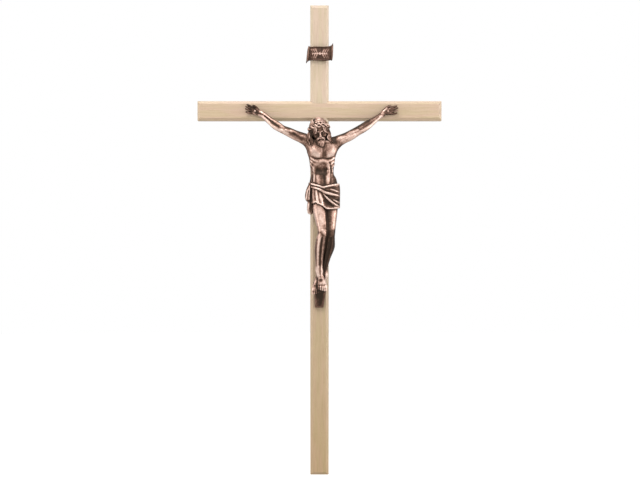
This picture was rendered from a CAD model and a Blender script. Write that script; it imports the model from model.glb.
import bmesh
import bpy
import numpy as np
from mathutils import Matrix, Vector


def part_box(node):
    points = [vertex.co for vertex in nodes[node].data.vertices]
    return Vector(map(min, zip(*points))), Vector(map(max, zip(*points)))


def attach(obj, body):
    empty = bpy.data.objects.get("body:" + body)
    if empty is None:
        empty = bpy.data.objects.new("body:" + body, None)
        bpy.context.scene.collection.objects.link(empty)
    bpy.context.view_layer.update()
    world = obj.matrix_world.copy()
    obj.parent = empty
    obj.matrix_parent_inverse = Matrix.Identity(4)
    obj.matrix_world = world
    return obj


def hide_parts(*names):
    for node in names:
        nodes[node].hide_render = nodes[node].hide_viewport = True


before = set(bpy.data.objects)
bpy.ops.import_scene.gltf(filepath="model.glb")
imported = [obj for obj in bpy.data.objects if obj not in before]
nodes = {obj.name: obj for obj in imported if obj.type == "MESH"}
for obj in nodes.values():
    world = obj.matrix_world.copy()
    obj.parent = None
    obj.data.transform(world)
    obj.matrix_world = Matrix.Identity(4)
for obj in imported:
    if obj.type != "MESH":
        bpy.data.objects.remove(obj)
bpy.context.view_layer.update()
scene = bpy.context.scene
mm = 0.001
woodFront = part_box("upright")[0].y / mm  # the bars' front plane
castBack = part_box("figure")[1].y / mm  # the figure's flat back, just off the wood
print("frame loaded:", len(nodes), "nodes")


# Camera

cameraSettings = {
    "photoSize": (640, 480),
    "mmPerPixel": 0.851,
    "crossingPixel": (319.5, 110.75),  # where the bars' centre lines cross in the photograph
    "distance": 1.5,
    "sensor": 36.0,
}


def addCamera(s):
    data = bpy.data.cameras.new("camera")
    data.sensor_width = s["sensor"]
    data.lens = s["sensor"] * s["distance"] / (s["photoSize"][0] * s["mmPerPixel"] * mm)
    data.dof.use_dof = False
    camera = bpy.data.objects.new("camera", data)
    scene.collection.objects.link(camera)
    across, down = [
        (size / 2 - at) * s["mmPerPixel"] * mm for size, at in zip(s["photoSize"], s["crossingPixel"])
    ]
    camera.location = (across, woodFront * mm - s["distance"], -down)
    camera.rotation_euler = (np.pi / 2, 0, 0)
    scene.camera = camera


addCamera(cameraSettings)
scene.view_settings.view_transform = "Standard"


# Node helpers

def newTree(name):
    material = bpy.data.materials.new(name)
    material.use_nodes = True
    material.node_tree.nodes.clear()
    return material, material.node_tree


def addNode(tree, kind, inputs=None, **settings):
    node = tree.nodes.new(kind)
    for key, value in settings.items():
        setattr(node, key, value)
    for key, value in (inputs or {}).items():
        if isinstance(value, bpy.types.NodeSocket):
            tree.links.new(value, node.inputs[key])
        else:
            node.inputs[key].default_value = value
    return node


def maths(tree, operation, a, b=0.0, clamp=False):
    node = addNode(tree, "ShaderNodeMath", {0: a, 1: b}, operation=operation, use_clamp=clamp)
    return node.outputs[0]


def colour(values):
    return (*values, 1.0)


def mixColours(tree, share, first, second, blend="MIX"):
    node = addNode(tree, "ShaderNodeMix", data_type="RGBA", blend_type=blend)
    for socket, value in ((0, share), (6, first), (7, second)):
        if isinstance(value, bpy.types.NodeSocket):
            tree.links.new(value, node.inputs[socket])
        else:
            node.inputs[socket].default_value = value
    return node.outputs[2]


def ramp(tree, value, stops):
    node = addNode(tree, "ShaderNodeValToRGB", {0: value})
    elements = node.color_ramp.elements
    while len(elements) < len(stops):
        elements.new(0.5)
    for element, (place, shade) in zip(elements, stops):
        element.position = place
        element.color = colour(shade) if len(shade) == 3 else shade
    return node.outputs[0]


def finishSurface(tree, inputs):
    shader = addNode(tree, "ShaderNodeBsdfPrincipled", inputs)
    output = addNode(tree, "ShaderNodeOutputMaterial")
    tree.links.new(shader.outputs[0], output.inputs[0])


# Light, background and floor

studio = {
    "floorHeight": -0.40,
    "floorRadius": 4.0,
    "floorColour": (0.82, 0.82, 0.81),
    "floorBounce": (0.68, 0.67, 0.65),
    "floorGlow": 0.62,
    "ambientAbove": 0.54,
    "ambientBelow": 0.46,
    "lamps": {
        "keyLamp": {"place": (-0.45, -1.25, 0.95), "size": (0.8, 0.6), "power": 9.2},
        "overheadLamp": {"place": (-0.12, -0.3, 1.05), "size": (1.1, 0.8), "power": 8.0},
        "fillLamp": {"place": (0.9, -1.5, 0.1), "size": (0.7, 1.1), "power": 4.8},
        "leftLamp": {"place": (-1.15, -0.3, -0.1), "size": (0.5, 1.1), "power": 4.6},
        "rightLamp": {"place": (1.15, -0.3, -0.1), "size": (0.5, 1.1), "power": 7.4},
    },
}


def addWorld(s):
    world = bpy.data.worlds.new("studio")
    scene.world = world
    world.use_nodes = True
    tree = world.node_tree
    tree.nodes.clear()
    rays = addNode(tree, "ShaderNodeLightPath")
    seen = maths(tree, "MAXIMUM", rays.outputs["Is Camera Ray"], rays.outputs["Is Glossy Ray"])
    seen = maths(tree, "MAXIMUM", seen, rays.outputs["Is Transmission Ray"])
    direction = addNode(tree, "ShaderNodeNewGeometry")
    parts = addNode(tree, "ShaderNodeSeparateXYZ", {0: direction.outputs["Position"]})
    height = maths(tree, "ADD", maths(tree, "MULTIPLY", parts.outputs[2], 0.5), 0.5)
    low, high = s["ambientBelow"], s["ambientAbove"]
    ambient = ramp(tree, height, [(0.25, (low,) * 3), (0.8, (high,) * 3)])
    dim = addNode(tree, "ShaderNodeBackground", {0: ambient, 1: 1.0})
    white = addNode(tree, "ShaderNodeBackground", {0: (1, 1, 1, 1), 1: 1.0})
    mix = addNode(tree, "ShaderNodeMixShader", {0: seen, 1: dim.outputs[0], 2: white.outputs[0]})
    output = addNode(tree, "ShaderNodeOutputWorld")
    tree.links.new(mix.outputs[0], output.inputs[0])


def addLamp(name, s, target=(0, 0, -0.1)):
    data = bpy.data.lights.new(name, "AREA")
    data.shape = "RECTANGLE"
    data.size, data.size_y = s["size"]
    data.energy = s["power"]
    lamp = bpy.data.objects.new(name, data)
    scene.collection.objects.link(lamp)
    lamp.location = s["place"]
    aim = Vector(target) - Vector(s["place"])
    lamp.rotation_euler = aim.to_track_quat("-Z", "Y").to_euler()


def addFloor(s):
    # a round floor: where a camera looks at it and no shadow falls, it is as white as the background
    spokes = 96
    angles = 2 * np.pi * np.arange(spokes) / spokes
    rim = np.stack([np.cos(angles), np.sin(angles), np.zeros(spokes)], 1) * s["floorRadius"]
    rim[:, 2] = s["floorHeight"]
    mesh = bpy.data.meshes.new("floor")
    mesh.from_pydata(rim.tolist(), [], [list(range(spokes))])
    floor = bpy.data.objects.new("floor", mesh)
    scene.collection.objects.link(floor)
    material, tree = newTree("paleFloor")
    rays = addNode(tree, "ShaderNodeLightPath")
    diffuse = addNode(tree, "ShaderNodeBsdfDiffuse", {0: colour(s["floorColour"])})
    bounce = addNode(tree, "ShaderNodeBsdfDiffuse", {0: colour(s["floorBounce"])})
    glow = addNode(tree, "ShaderNodeEmission", {0: (1, 1, 1, 1), 1: s["floorGlow"]})
    lit = addNode(tree, "ShaderNodeAddShader", {0: diffuse.outputs[0], 1: glow.outputs[0]})
    seen = rays.outputs["Is Camera Ray"]
    mix = addNode(tree, "ShaderNodeMixShader", {0: seen, 1: bounce.outputs[0], 2: lit.outputs[0]})
    output = addNode(tree, "ShaderNodeOutputMaterial")
    tree.links.new(mix.outputs[0], output.inputs[0])
    mesh.materials.append(material)


addWorld(studio)
for lampName, lampSettings in studio["lamps"].items():
    addLamp(lampName, lampSettings)
addFloor(studio)
print("studio ready")


# Beech

beech = {
    "pinkish": (0.590, 0.440, 0.340),
    "yellowish": (0.555, 0.440, 0.302),
    "dark": (0.44, 0.30, 0.175),
    # how wide and how long each pattern of the grain is, in mm
    "bands": (4.0, 46),
    "lines": (0.7, 14),
    "flecks": (1.0, 3.4),
    "faintness": (14, 30),
    "pores": (0.5, 20),
    "flecksKept": 0.55,
    "fleckStrength": 0.95,
    # the wood deepens a little towards the foot of the cross, from one height down to another
    "lowTint": (0.73, 0.64, 0.47),
    "lowHeights": (0.05, -0.31),
    # and is palest where the bars cross: no longer at the first distance, wholly at the second
    "middleTint": (1.12, 1.13, 1.17),
    "middleReach": (0.055, 0.012),
    "roughness": 0.48,
    "coat": 0.45,
    "coatRoughness": 0.25,
    "relief": (0.25, 0.08),
}


def tinted(tree, body, tint, value, none, full):
    # the tint comes in as the value goes from none to full
    share = addNode(tree, "ShaderNodeMapRange", {0: value, 1: none, 2: full, 3: 0.0, 4: 1.0}).outputs[0]
    return mixColours(tree, share, body, mixColours(tree, 1.0, body, colour(tint), "MULTIPLY"))


def beechMaterial(name, s, grainAxis, shift, tint):
    # Object coordinates squeezed along the grain, so every pattern runs along the bar
    material, tree = newTree(name)
    place = addNode(tree, "ShaderNodeTexCoord").outputs["Object"]

    def stretched(size):
        across, along = size
        scale = [1 / (across * mm)] * 3
        scale[grainAxis] = 1 / (along * mm)
        inputs = {"Vector": place, "Location": shift, "Scale": scale}
        return addNode(tree, "ShaderNodeMapping", inputs).outputs[0]

    def noise(size, detail, distortion=0.0):
        inputs = {"Vector": stretched(size), "Scale": 1.0, "Detail": detail, "Distortion": distortion}
        return addNode(tree, "ShaderNodeTexNoise", inputs).outputs[0]

    bands = ramp(tree, noise(s["bands"], 2, 0.6), [(0.36, (0, 0, 0)), (0.64, (1, 1, 1))])
    body = mixColours(tree, bands, colour(s["pinkish"]), colour(s["yellowish"]))
    body = mixColours(tree, 1.0, body, colour(tint), "MULTIPLY")
    lines = ramp(tree, noise(s["lines"], 4, 0.3), [(0.44, (1, 1, 1)), (0.68, (0.90, 0.88, 0.84))])
    body = mixColours(tree, 1.0, body, lines, "MULTIPLY")
    cellInputs = {"Vector": stretched(s["flecks"]), "Scale": 1.0, "Randomness": 1.0}
    cells = addNode(tree, "ShaderNodeTexVoronoi", cellInputs)
    spread = ramp(tree, cells.outputs["Distance"], [(0.10, (1, 1, 1)), (0.27, (0, 0, 0))])
    chance = addNode(tree, "ShaderNodeSeparateColor", {0: cells.outputs["Color"]}).outputs[0]
    chosen = maths(tree, "LESS_THAN", chance, s["flecksKept"])
    strength = maths(tree, "MULTIPLY", noise(s["faintness"], 1), s["fleckStrength"])
    flecks = maths(tree, "MULTIPLY", maths(tree, "MULTIPLY", spread, chosen), strength)
    body = mixColours(tree, flecks, body, colour(s["dark"]))
    height = addNode(tree, "ShaderNodeSeparateXYZ", {0: place}).outputs[2]
    body = tinted(tree, body, s["lowTint"], height, *s["lowHeights"])
    away = addNode(tree, "ShaderNodeVectorMath", {0: place}, operation="LENGTH").outputs["Value"]
    body = tinted(tree, body, s["middleTint"], away, *s["middleReach"])
    relief = maths(tree, "SUBTRACT", noise(s["pores"], 3), maths(tree, "MULTIPLY", flecks, 0.6))
    strength, depth = s["relief"]
    bump = addNode(tree, "ShaderNodeBump", {"Strength": strength, "Distance": depth * mm, "Height": relief})
    finishSurface(
        tree,
        {
            "Base Color": body,
            "Roughness": s["roughness"],
            "Coat Weight": s["coat"],
            "Coat Roughness": s["coatRoughness"],
            "Normal": bump.outputs[0],
        },
    )
    return material


def fillHoles(tidy, crosswise):
    # A bar's nails and pegs hide their holes, so each face that has some becomes one plain face. A
    # point that lies nearer the bar's middle line than its front face's edges belongs to a hole.
    rims = sorted({round(abs(vert.co[crosswise]), 5) for vert in tidy.verts})[-2] - 0.02 * mm
    drilled = [vert for vert in tidy.verts if abs(vert.co[crosswise]) < rims]
    bmesh.ops.delete(tidy, geom=drilled, context="VERTS")
    bmesh.ops.holes_fill(tidy, edges=tidy.edges)


def softEdged(node, name, width, material, crosswise=None):
    # a copy of a CAD piece with its sharp edges eased
    mesh = nodes[node].data.copy()
    mesh.name = name
    tidy = bmesh.new()
    tidy.from_mesh(mesh)
    bmesh.ops.remove_doubles(tidy, verts=tidy.verts, dist=0.002 * mm)
    bmesh.ops.dissolve_limit(tidy, angle_limit=np.radians(1), verts=tidy.verts, edges=tidy.edges)
    if crosswise is not None:
        fillHoles(tidy, crosswise)
    tidy.to_mesh(mesh)
    tidy.free()
    mesh.materials.clear()
    mesh.materials.append(material)
    bar = bpy.data.objects.new(name, mesh)
    scene.collection.objects.link(bar)
    bevel = bar.modifiers.new("easedEdges", "BEVEL")
    bevel.width = width * mm
    bevel.segments = 3
    bevel.limit_method = "ANGLE"
    bevel.angle_limit = np.radians(25)
    bar.modifiers.new("flatFaces", "WEIGHTED_NORMAL").weight = 90
    for face in mesh.polygons:
        face.use_smooth = True
    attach(bar, "cross")
    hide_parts(node)


postBeech = beechMaterial("beechUpright", beech, 2, (0.3, 0.1, 0.7), (0.98, 1.0, 0.98))
beamBeech = beechMaterial("beechBeam", beech, 0, (0.9, 0.4, 0.2), (1.0, 0.97, 0.92))
softEdged("upright", "uprightBar", 0.3, postBeech, crosswise=0)
softEdged("crossbeam", "crossbeamBar", 0.3, beamBeech, crosswise=2)
print("beech bars ready")


# Antique copper and brass

copper = {
    # how deep the patina is and the colour there, from what is rubbed bright to the deepest hollow
    "shades": [
        (0.06, (0.78, 0.585, 0.50)),
        (0.30, (0.44, 0.275, 0.215)),
        (0.52, (0.13, 0.068, 0.046)),
        (0.80, (0.036, 0.020, 0.012)),
    ],
    # each unevenness of the patina: its scale, its detail and how much it counts
    "patches": (260.0, 3.0, 0.4),
    "mottling": (850.0, 2.0, 0.45),
    "calm": 0.2,
    "calmEnd": 2.2,
    "grain": (1500.0, 2.0),
    "metallic": 0.72,
    "roughBright": 0.36,
    "roughDark": 0.5,
}


def copperMaterial(name, s):
    # the attribute patina says how a place was polished: 0 proud and bright, 1 deep and dark
    material, tree = newTree(name)
    place = addNode(tree, "ShaderNodeTexCoord").outputs["Object"]
    wear = addNode(tree, "ShaderNodeAttribute", attribute_name="patina").outputs["Fac"]

    def noise(scale, detail):
        inputs = {"Vector": place, "Scale": scale, "Detail": detail}
        return addNode(tree, "ShaderNodeTexNoise", inputs).outputs[0]

    def unevenness(scale, detail, amount):
        return maths(tree, "MULTIPLY", maths(tree, "SUBTRACT", noise(scale, detail), 0.5), amount)

    uneven = maths(tree, "ADD", unevenness(*s["patches"]), unevenness(*s["mottling"]))
    # little of it shows on what is rubbed bright
    shown = maths(tree, "ADD", maths(tree, "MULTIPLY", wear, s["calmEnd"]), s["calm"], clamp=True)
    depth = maths(tree, "ADD", wear, maths(tree, "MULTIPLY", uneven, shown), clamp=True)
    roughInputs = {0: depth, 1: 0.1, 2: 0.8, 3: s["roughBright"], 4: s["roughDark"]}
    rough = addNode(tree, "ShaderNodeMapRange", roughInputs)
    grain = noise(*s["grain"])
    bump = addNode(tree, "ShaderNodeBump", {"Strength": 0.2, "Distance": 0.06 * mm, "Height": grain})
    inputs = {
        "Base Color": ramp(tree, depth, s["shades"]),
        "Metallic": s["metallic"],
        "Roughness": rough.outputs[0],
        "Normal": bump.outputs[0],
    }
    finishSurface(tree, inputs)
    return material


# Clay: a grid of distances to a surface, negative inside it, in x, out from the wood, and z

farAway = 4.0


def newClay(low, high, step):
    axes = [np.arange(first, last + step, step) for first, last in zip(low, high)]
    field = np.full([len(axis) for axis in axes], farAway, np.float32)
    return {"axes": axes, "step": step, "field": field}


def near(clay, low, high):
    # the stretch of the grid between two corners, as slices and as three open arrays of places
    ends = [np.searchsorted(axis, (first, last)) for axis, first, last in zip(clay["axes"], low, high)]
    slices = tuple(slice(*pair) for pair in ends)
    return slices, np.ix_(*[axis[part] for axis, part in zip(clay["axes"], slices)])


def smoothMinimum(first, second, width):
    # the smaller of two distances, rounded where they differ by less than the width
    overlap = np.maximum(width - np.abs(first - second), 0) / width
    return np.minimum(first, second) - 0.25 * width * overlap**2


def merge(clay, slices, distance, blend, carve):
    old = clay["field"][slices]
    if carve:
        clay["field"][slices] = -smoothMinimum(-old, distance, blend)
    else:
        clay["field"][slices] = smoothMinimum(old, distance, blend)


def smoothRows(rows, steps):
    # Catmull-Rom spline through the rows: places and sizes all run smoothly from row to row
    rows = np.array(rows, float)
    padded = np.vstack([2 * rows[0] - rows[1], rows, 2 * rows[-1] - rows[-2]])
    a, b, c, d = (padded[i : len(padded) - 3 + i, None] for i in range(4))
    t = (np.arange(steps) / steps)[None, :, None]
    curve = 0.5 * (2 * b + (c - a) * t + (2 * a - 5 * b + 4 * c - d) * t**2 + (3 * b - a - 3 * c + d) * t**3)
    return np.vstack([curve.reshape(-1, rows.shape[1]), rows[-1]])


def addLimb(clay, rows, blend=0.8, steps=5, carve=False):
    # Rows of x, out, z, radius and, where the section isn't round, radius outwards. Each stretch is
    # a cone: (length of the offset from the line over the radii - 1) times the smaller radius.
    path = smoothRows(rows, steps)
    if path.shape[1] == 4:
        path = np.column_stack([path, path[:, 3]])
    path[:, 3:] = np.maximum(path[:, 3:], 0.05)
    reach = path[:, 3:].max() + blend + 1
    whole, grid = near(clay, path[:, :3].min(0) - reach, path[:, :3].max(0) + reach)
    shape = [len(axis.ravel()) for axis in grid]
    if 0 in shape:
        return
    distance = np.full(shape, farAway, np.float32)
    starts = np.array([part.start for part in whole])
    for start, end in zip(path[:-1], path[1:]):
        low, high = np.minimum(start, end)[:3] - reach, np.maximum(start, end)[:3] + reach
        slices, (x, out, z) = near(clay, low, high)
        run = end[:3] - start[:3]
        dx, dy, dz = x - start[0], out - start[1], z - start[2]
        t = np.clip((dx * run[0] + dy * run[1] + dz * run[2]) / max(run @ run, 1e-9), 0, 1)
        across = start[3] + t * (end[3] - start[3])
        deep = start[4] + t * (end[4] - start[4])
        flat = (dx - t * run[0]) ** 2 + (dz - t * run[2]) ** 2
        length = np.sqrt(flat / across**2 + ((dy - t * run[1]) / deep) ** 2)
        inner = tuple(slice(part.start - first, part.stop - first) for part, first in zip(slices, starts))
        distance[inner] = np.minimum(distance[inner], (length - 1) * np.minimum(across, deep))
    merge(clay, whole, distance, blend, carve)


def addLump(clay, centre, sizes, turn, blend, carve=False):
    # an ellipsoid: with q the offset over the sizes, |q| (|q| - 1) / |q over the sizes|
    reach = max(sizes) + blend + 1
    slices, grid = near(clay, np.array(centre) - reach, np.array(centre) + reach)
    offset = [axis - middle for axis, middle in zip(grid, centre)]
    scaled = [sum(turn[i][j] * offset[i] for i in range(3)) / sizes[j] for j in range(3)]
    length = np.sqrt(sum(q**2 for q in scaled))
    steep = np.sqrt(sum((q / size) ** 2 for q, size in zip(scaled, sizes)))
    merge(clay, slices, length * (length - 1) / np.maximum(steep, 1e-6), blend, carve)


def stackAt(rows, z):
    # x, out, width and depth of a stack of ellipses at a height
    fine = smoothRows(rows, 8)
    fine = fine[np.argsort(fine[:, 2])]
    return [np.interp(z, fine[:, 2], fine[:, column]) for column in (0, 1, 3, 4)]


def stackDistance(grid, rows):
    x, out, z = grid
    middle, depth, wide, deep = (values.reshape(z.shape) for values in stackAt(rows, z.ravel()))
    length = np.sqrt(((x - middle) / wide) ** 2 + ((out - depth) / deep) ** 2)
    heights = [row[2] for row in rows]
    side = (length - 1) * np.minimum(wide, deep)
    return np.maximum(side, np.maximum(z - max(heights), min(heights) - z))


def onStack(rows, marks):
    # marks of x, z, radius and lift: the same places laid on the front of the stack
    placed = []
    for x, z, radius, lift in marks:
        middle, depth, wide, deep = stackAt(rows, z)
        front = np.sqrt(max(1 - ((x - middle) / wide) ** 2, 0.0))
        placed.append([x, depth + deep * front + lift, z, radius])
    return placed


def onLimb(rows, marks, upwards):
    # marks of share, across, outwards and radius: places beside a limb's middle line, in its own radii
    path = smoothRows(rows, 8)
    shares = np.cumsum(np.r_[0, np.linalg.norm(np.diff(path[:, :3], axis=0), axis=1)])
    shares /= shares[-1]
    tangents = np.gradient(path[:, :3], axis=0)
    sides = np.stack([-tangents[:, 2], np.zeros(len(path)), tangents[:, 0]], 1)
    sides *= np.sign(sides @ np.array(upwards, float))[:, None]
    sides /= np.linalg.norm(sides, axis=1)[:, None]
    placed = []
    for share, across, outwards, radius in marks:
        at = [np.interp(share, shares, column) for column in np.column_stack([path, sides]).T]
        point = np.array(at[:3]) + across * at[3] * np.array(at[5:]) + outwards * at[4] * np.array([0, 1, 0])
        placed.append([*point, radius])
    return placed


def sample(clay, points):
    # the distance at any place, weighed between the eight grid points round it
    origin = np.array([axis[0] for axis in clay["axes"]])
    place = (points - origin) / clay["step"]
    shape = np.array(clay["field"].shape)
    within = np.all((place >= 0) & (place < shape - 1), axis=1)
    found = np.full(len(points), farAway, np.float32)
    cell = place[within].astype(int)
    part = place[within] - cell
    total = np.zeros(len(cell))
    for i in range(8):
        corner = np.array([i & 1, i >> 1 & 1, i >> 2 & 1])
        weight = np.prod(np.where(corner, part, 1 - part), axis=1)
        total += weight * clay["field"][tuple((cell + corner).T)]
    found[within] = total
    return found


def surfaceOf(clay):
    # Surface nets: one vertex in each cell that the surface crosses, at the middle of the crossings
    # on its edges, and one face round each grid edge that it crosses
    field = clay["field"]
    inside = field < 0
    low, high = slice(None, -1), slice(1, None)
    corners = [np.array([i & 1, i >> 1 & 1, i >> 2 & 1]) for i in range(8)]
    filled = sum(inside[tuple(high if c else low for c in corner)].astype(np.int8) for corner in corners)
    mixed = (filled > 0) & (filled < 8)
    cells = np.argwhere(mixed)
    number = np.full(mixed.shape, -1, np.int32)
    number[mixed] = np.arange(len(cells))
    total, count = np.zeros((len(cells), 3)), np.zeros(len(cells))
    for i, first in enumerate(corners):
        for second in corners[i + 1 :]:
            if np.abs(second - first).sum() != 1:
                continue
            a = field[tuple((cells + first).T)]
            b = field[tuple((cells + second).T)]
            crossed = (a < 0) != (b < 0)
            t = np.where(crossed, a / np.where(crossed, a - b, 1), 0)
            total += crossed[:, None] * (first + t[:, None] * (second - first))
            count += crossed
    points = cells + total / count[:, None]
    faces = []
    for axis in range(3):
        others = [i for i in range(3) if i != axis]
        before = [slice(1, -1)] * 3
        after = [slice(1, -1)] * 3
        before[axis], after[axis] = slice(None, -1), slice(1, None)
        change = inside[tuple(before)] != inside[tuple(after)]
        edges = np.argwhere(change)
        edges[:, others] += 1
        steps = np.zeros((4, 3), int)
        steps[1, others[0]] = steps[2, others[0]] = -1
        steps[2, others[1]] = steps[3, others[1]] = -1
        quad = np.stack([number[tuple((edges + step).T)] for step in steps], 1)
        starts = inside[tuple(edges.T)]
        turned = starts ^ (axis == 1)
        quad[turned] = quad[turned][:, ::-1]
        faces.append(quad)
    origin = np.array([axis[0] for axis in clay["axes"]])
    return points * clay["step"] + origin, np.vstack(faces)


def settle(clay, points):
    # slide each vertex along the slope of the distances onto the surface, and give the slope there
    reach = 0.6 * clay["step"]
    for _ in range(2):
        ahead = [sample(clay, points + reach * side) for side in np.eye(3)]
        behind = [sample(clay, points - reach * side) for side in np.eye(3)]
        slope = (np.stack(ahead, 1) - np.stack(behind, 1)) / (2 * reach)
        steep = np.maximum((slope**2).sum(1), 0.05)
        move = sample(clay, points)[:, None] * slope / steep[:, None]
        points = points - np.clip(move, -reach, reach)
    return points, slope / np.sqrt(np.maximum((slope**2).sum(1), 1e-6))[:, None]


patina = {
    "plain": 0.37,
    "sides": 0.32,
    # how far out or in to look, in mm, and how much what is found there counts
    "crease": [(0.5, 0.34), (1.1, 0.30)],
    "edge": [(0.5, 0.24), (1.1, 0.18)],
    "step": 0.5,
    "spread": [(1.0, 0.9), (2.5, 1.5)],
}


def blurred(values, half):
    # each value replaced, along each axis in turn and twice over, by the mean of 2 half + 1 neighbours
    for axis in (0, 1, 2, 0, 1, 2):
        ends = [(0, 0)] * 3
        ends[axis] = (half + 1, half)
        sums = np.cumsum(np.pad(values, ends), axis=axis, dtype=np.float64)
        after = np.take(sums, np.arange(2 * half + 1, sums.shape[axis]), axis)
        before = np.take(sums, np.arange(sums.shape[axis] - 2 * half - 1), axis)
        values = ((after - before) / (2 * half + 1)).astype(np.float32)
    return values


def fullness(clays, s):
    # One coarse grid over the whole casting, 1 in the metal or the wood and 0 outside, blurred by each
    # spread: a half over a flat place, more in a hollow and less on a ridge
    step, margin = s["step"], 8.0
    ends = [
        (min(clay["axes"][i][0] for clay in clays), max(clay["axes"][i][-1] for clay in clays))
        for i in range(3)
    ]
    axes = [np.arange(low - margin, high + margin, step) for low, high in ends]
    filled = np.zeros([len(axis) for axis in axes], np.float32)
    for clay in clays:
        parts, places = [], []
        for axis, own in zip(axes, clay["axes"]):
            first, last = np.searchsorted(axis, (own[0], own[-1]))
            parts.append(slice(first, last))
            cells = np.rint((axis[first:last] - own[0]) / clay["step"]).astype(int)
            places.append(np.clip(cells, 0, len(own) - 1))
        inside = np.clip(0.5 - clay["field"][np.ix_(*places)] / step, 0, 1)
        filled[tuple(parts)] = np.maximum(filled[tuple(parts)], inside)
    x, out, z = np.ix_(*axes)
    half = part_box("upright")[1].x / mm
    filled[(out < 0) & ((np.abs(x) < half) | (np.abs(z) < half))] = 1  # the wood behind
    return [
        ({"axes": axes, "step": step, "field": blurred(filled, round(reach / step))}, weight)
        for reach, weight in s["spread"]
    ]


def patinaOf(clays, full, points, outward, s):
    # Dark where other clay is nearer, a little way out, than it would be over a flat place or where
    # the metal fills more than half of the space round about, and bright on edges and ridges. The
    # buffing came from the front, so the sides are darker too.
    total = s["plain"] + s["sides"] * np.clip(1 - outward[:, 1], 0, 1) ** 1.5
    for reach, weight in s["crease"]:
        nearest = np.min([sample(clay, points + reach * outward) for clay in clays], axis=0)
        total += weight * np.clip(1 - nearest / reach, 0, 1.3)
    for reach, weight in s["edge"]:
        deepest = np.min([sample(clay, points - reach * outward) for clay in clays], axis=0)
        total -= weight * np.clip(1 + deepest / reach, 0, 1)
    for grid, weight in full:
        total += weight * (sample(grid, points) - 0.5)
    return np.clip(total, 0, 1)


def meshFromClay(name, clay, clays, full, material):
    points, faces = surfaceOf(clay)
    points, outward = settle(clay, points)
    shade = patinaOf(clays, full, points, outward, patina)
    return addPiece(name, points, faces, material, shade + tarnishOf(name, points, outward))


def addPiece(name, points, faces, material, shade=None, body="cross"):
    # points in x, out and z, turned into the frame's x, y and z
    placed = np.column_stack([points[:, 0], castBack - points[:, 1], points[:, 2]]) * mm
    mesh = bpy.data.meshes.new(name)
    mesh.from_pydata(placed.tolist(), [], faces.tolist())
    mesh.validate()
    if signedVolume(placed, faces) < 0:
        mesh.flip_normals()
    mesh.materials.append(material)
    mesh.polygons.foreach_set("use_smooth", np.ones(len(mesh.polygons), bool))
    if shade is not None:
        mesh.attributes.new("patina", "FLOAT", "POINT").data.foreach_set("value", shade.astype(np.float32))
    piece = bpy.data.objects.new(name, mesh)
    scene.collection.objects.link(piece)
    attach(piece, body)
    print(name, len(placed), "points", len(faces), "faces")
    return piece


def signedVolume(points, faces):
    first, second, third = points[faces[:, 0]], points[faces[:, 1]], points[faces[:, 2]]
    total = np.einsum("ij,ij->", first, np.cross(second, third))
    if faces.shape[1] == 4:
        total += np.einsum("ij,ij->", first, np.cross(third, points[faces[:, 3]]))
    return total / 6


# The figure's trunk and arms. Rows hold x, out, z and the radii across and outwards.

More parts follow.
